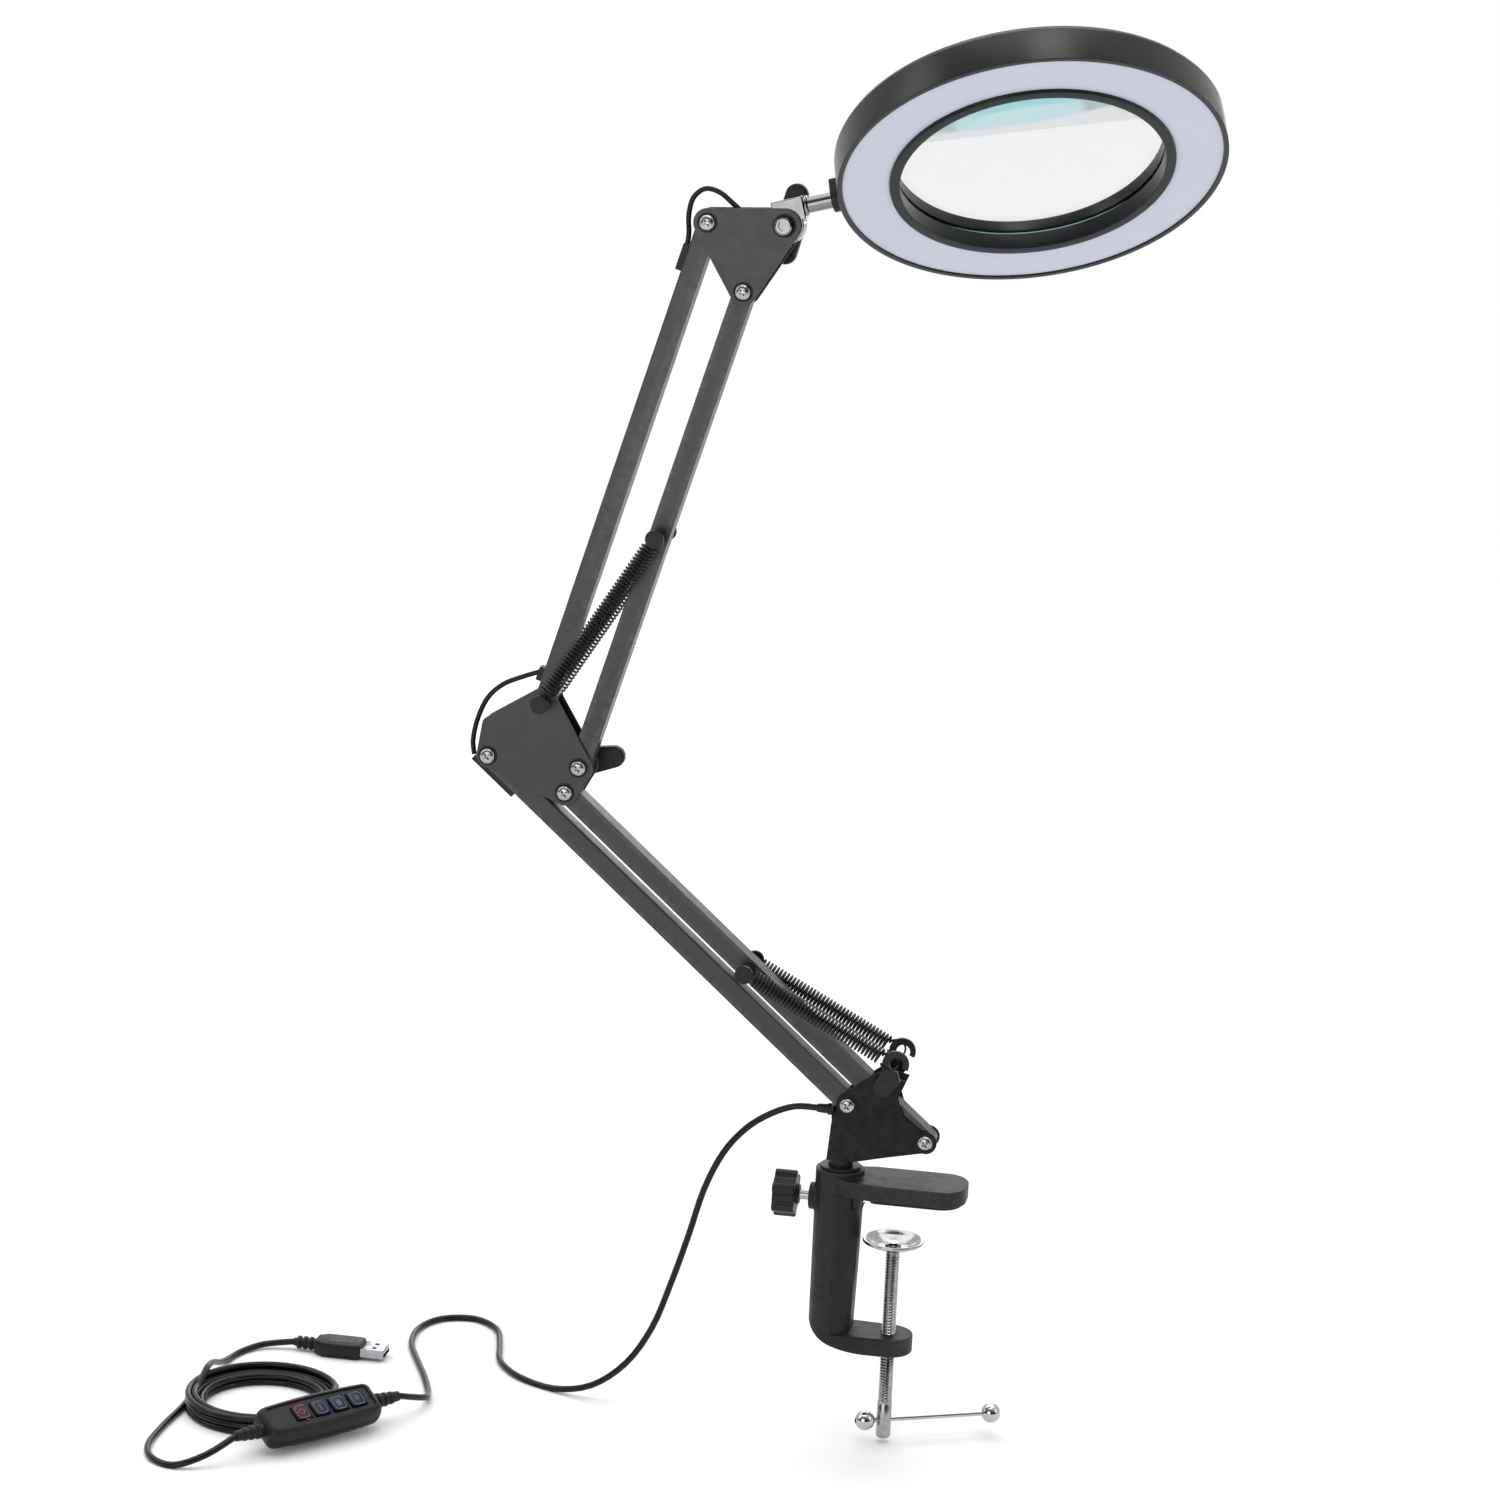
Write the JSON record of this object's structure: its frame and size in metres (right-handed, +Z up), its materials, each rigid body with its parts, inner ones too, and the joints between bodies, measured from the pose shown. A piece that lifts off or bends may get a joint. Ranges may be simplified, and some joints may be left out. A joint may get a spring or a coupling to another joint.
{
  "type": "magnifying lamp",
  "caption": "Clamp-on magnifying lamp: table clamp, swivel base, sprung parallelogram arms, tilting and rolling ring-light lens head, cord with in-line switch and USB plug.",
  "frame": {"origin": "where the clamp screw's axis meets the underside of the jaw pad, the face that rests on the table top", "axes": "+Z up, along the clamp screw and away from the table; +X along the jaw, away from the column; the arms lie in the plane y = 0"},
  "size_m": [0.4722, 0.2352, 0.6917],
  "materials": {
    "arm_black": "satin powder coat",
    "cast_black": "matte powder coat on a casting",
    "steel_black": "black oxide",
    "zinc": "bright zinc plate",
    "chrome": "polished",
    "plastic_black": "fine moulded texture",
    "gloss_black": "semi gloss moulding",
    "rubber_black": "matte",
    "cord_black": "smooth jacket with a soft gloss",
    "led_board": "white board with yellow LEDs",
    "diffuser": "milky, lit from behind",
    "lens_glass": "clear, polished",
    "key_blue": "black cap with a lit blue symbol",
    "key_red": "black cap with a lit red symbol"
  },
  "bodies": {
    "clamp": {"clamp_frame": "cast_black", "jaw_pad": "rubber_black", "column_bush": "plastic_black"},
    "lock_knob": {"lock_knob": "plastic_black", "lock_stud": "zinc"},
    "screw_swivel": {"pad_rivet": "chrome"},
    "pressure_pad": {"pressure_pad": "chrome"},
    "clamp_screw": {"clamp_screw": "zinc"},
    "tommy": {"tommy_bar": "chrome", "tommy_balls": "chrome"},
    "base": {"base_bracket": "arm_black", "pivot_post": "steel_black", "base_pivot_screws": "zinc", "base_pivot_nuts": "zinc", "base_spring_hooks": "steel_black", "cord_gland": "plastic_black", "lower_springs": "steel_black", "cord_lead": "cord_black", "cord_tail": "cord_black", "cord_coil": "cord_black", "cord_end": "cord_black", "switch_top": "gloss_black", "switch_bottom": "plastic_black", "plug_body": "plastic_black", "plug_shell": "zinc"},
    "key_1": {"switch_key_1": "key_blue"},
    "key_2": {"switch_key_2": "key_blue"},
    "key_3": {"switch_key_3": "key_blue"},
    "key_4": {"switch_key_4": "key_red"},
    "lower_main": {"lower_main_tube": "arm_black", "lower_cable_guide": "plastic_black"},
    "lower_tie": {"lower_tie_tube": "arm_black", "lower_spring_post": "plastic_black"},
    "elbow": {"elbow_plate_front": "arm_black", "elbow_plate_rear": "arm_black", "elbow_pivot_screws": "zinc", "elbow_pivot_nuts": "zinc", "elbow_spring_post": "plastic_black", "upper_springs": "steel_black"},
    "elbow_wing_nut": {"elbow_wing_nut": "plastic_black"},
    "upper_main": {"upper_main_tube": "arm_black", "upper_cable_clips": "plastic_black", "jumper_leads": "cord_black"},
    "upper_tie": {"upper_tie_tube": "arm_black", "upper_spring_post": "plastic_black"},
    "head_bracket": {"head_plate_front": "arm_black", "head_plate_rear": "arm_black", "head_pivot_screws": "zinc", "head_pivot_nuts": "zinc", "head_clamp_bolt": "zinc"},
    "head_wing_nut": {"head_wing_nut": "plastic_black"},
    "yoke": {"head_yoke": "chrome"},
    "head": {"ring_housing": "gloss_black", "led_ring": "led_board", "diffuser": "diffuser", "lens_bezel": "gloss_black", "lens": "lens_glass", "lens_retainer": "gloss_black", "stem_mount": "plastic_black", "head_stem": "chrome"}
  },
  "joints": [
    {"name": "lock_knob_turn", "type": "hinge", "parent": "clamp", "child": "lock_knob", "pos_m": [-0.06, 0, -0.0035], "axis": [1, 0, 0], "continuous": true},
    {"name": "screw_travel", "type": "slide", "parent": "clamp", "child": "screw_swivel", "axis": [0, 0, 1], "range_m": [-0.038, 0.019]},
    {"name": "pad_tilt", "type": "hinge", "parent": "screw_swivel", "child": "pressure_pad", "pos_m": [0, 0, -0.0262], "axis": [0, 1, 0], "range_deg": [-7, 7]},
    {"name": "screw_spin", "type": "hinge", "parent": "screw_swivel", "child": "clamp_screw", "pos_m": [0, 0, -0.05], "axis": [0, 0, 1], "range_deg": [-9121, 4561]},
    {"name": "tommy_slide", "type": "slide", "parent": "clamp_screw", "child": "tommy", "axis": [0.9063, 0.4226, 0], "range_m": [-0.046, 0]},
    {"name": "base_swivel", "type": "hinge", "parent": "clamp", "child": "base", "pos_m": [-0.028, 0, 0], "axis": [0, 0, 1], "range_deg": [-150, 150]},
    {"name": "lower_arm_tilt", "type": "hinge", "parent": "base", "child": "lower_main", "pos_m": [-0.0252, 0, 0.046], "axis": [0, 1, 0], "range_deg": [-4, 70]},
    {"name": "lower_tie_turn", "type": "hinge", "parent": "base", "child": "lower_tie", "pos_m": [0.0137, 0, 0.0306], "axis": [0, 1, 0], "range_deg": [-4, 70], "deforming": ["lower_springs"]},
    {"name": "elbow_level", "type": "hinge", "parent": "lower_main", "child": "elbow", "pos_m": [-0.21018, 0, 0.20511], "axis": [0, 1, 0], "range_deg": [-70, 4]},
    {"name": "elbow_wing_turn", "type": "hinge", "parent": "elbow", "child": "elbow_wing_nut", "pos_m": [-0.16498, 0.011, 0.20251], "axis": [0, 1, 0], "continuous": true},
    {"name": "upper_arm_tilt", "type": "hinge", "parent": "elbow", "child": "upper_main", "pos_m": [-0.18328, 0, 0.23381], "axis": [0, 1, 0], "range_deg": [-28, 75], "deforming": ["jumper_leads"]},
    {"name": "upper_tie_turn", "type": "hinge", "parent": "elbow", "child": "upper_tie", "pos_m": [-0.16498, 0, 0.20251], "axis": [0, 1, 0], "range_deg": [-28, 75], "deforming": ["upper_springs"]},
    {"name": "head_level", "type": "hinge", "parent": "upper_main", "child": "head_bracket", "pos_m": [-0.11235, 0, 0.46727], "axis": [0, 1, 0], "range_deg": [-75, 28]},
    {"name": "head_wing_turn", "type": "hinge", "parent": "head_bracket", "child": "head_wing_nut", "pos_m": [-0.07585, 0.011, 0.46767], "axis": [0, 1, 0], "continuous": true},
    {"name": "head_tilt", "type": "hinge", "parent": "head_bracket", "child": "yoke", "pos_m": [-0.07585, 0, 0.46767], "axis": [0, 1, 0], "range_deg": [-70, 45]},
    {"name": "head_roll", "type": "hinge", "parent": "yoke", "child": "head", "pos_m": [-0.07765, 0, 0.47444], "axis": [0.9666, 0, 0.2563], "range_deg": [-55, 120]},
    {"name": "key_1_press", "type": "slide", "parent": "base", "child": "key_1", "axis": [0.3596, -0.3018, 0.8829], "range_m": [-0.0004, 0], "stiffness_N_per_m": 400},
    {"name": "key_2_press", "type": "slide", "parent": "base", "child": "key_2", "axis": [0.3596, -0.3018, 0.8829], "range_m": [-0.0004, 0], "stiffness_N_per_m": 400},
    {"name": "key_3_press", "type": "slide", "parent": "base", "child": "key_3", "axis": [0.3596, -0.3018, 0.8829], "range_m": [-0.0004, 0], "stiffness_N_per_m": 400},
    {"name": "key_4_press", "type": "slide", "parent": "base", "child": "key_4", "axis": [0.3596, -0.3018, 0.8829], "range_m": [-0.0004, 0], "stiffness_N_per_m": 400}
  ],
  "couplings": [
    {"joint": "screw_spin", "follows": "screw_travel", "rad_per_m": 4188.8},
    {"joint": "lower_tie_turn", "follows": "lower_arm_tilt", "ratio": 1},
    {"joint": "elbow_level", "follows": "lower_arm_tilt", "ratio": -1},
    {"joint": "upper_tie_turn", "follows": "upper_arm_tilt", "ratio": 1},
    {"joint": "head_level", "follows": "upper_arm_tilt", "ratio": -1}
  ]
}
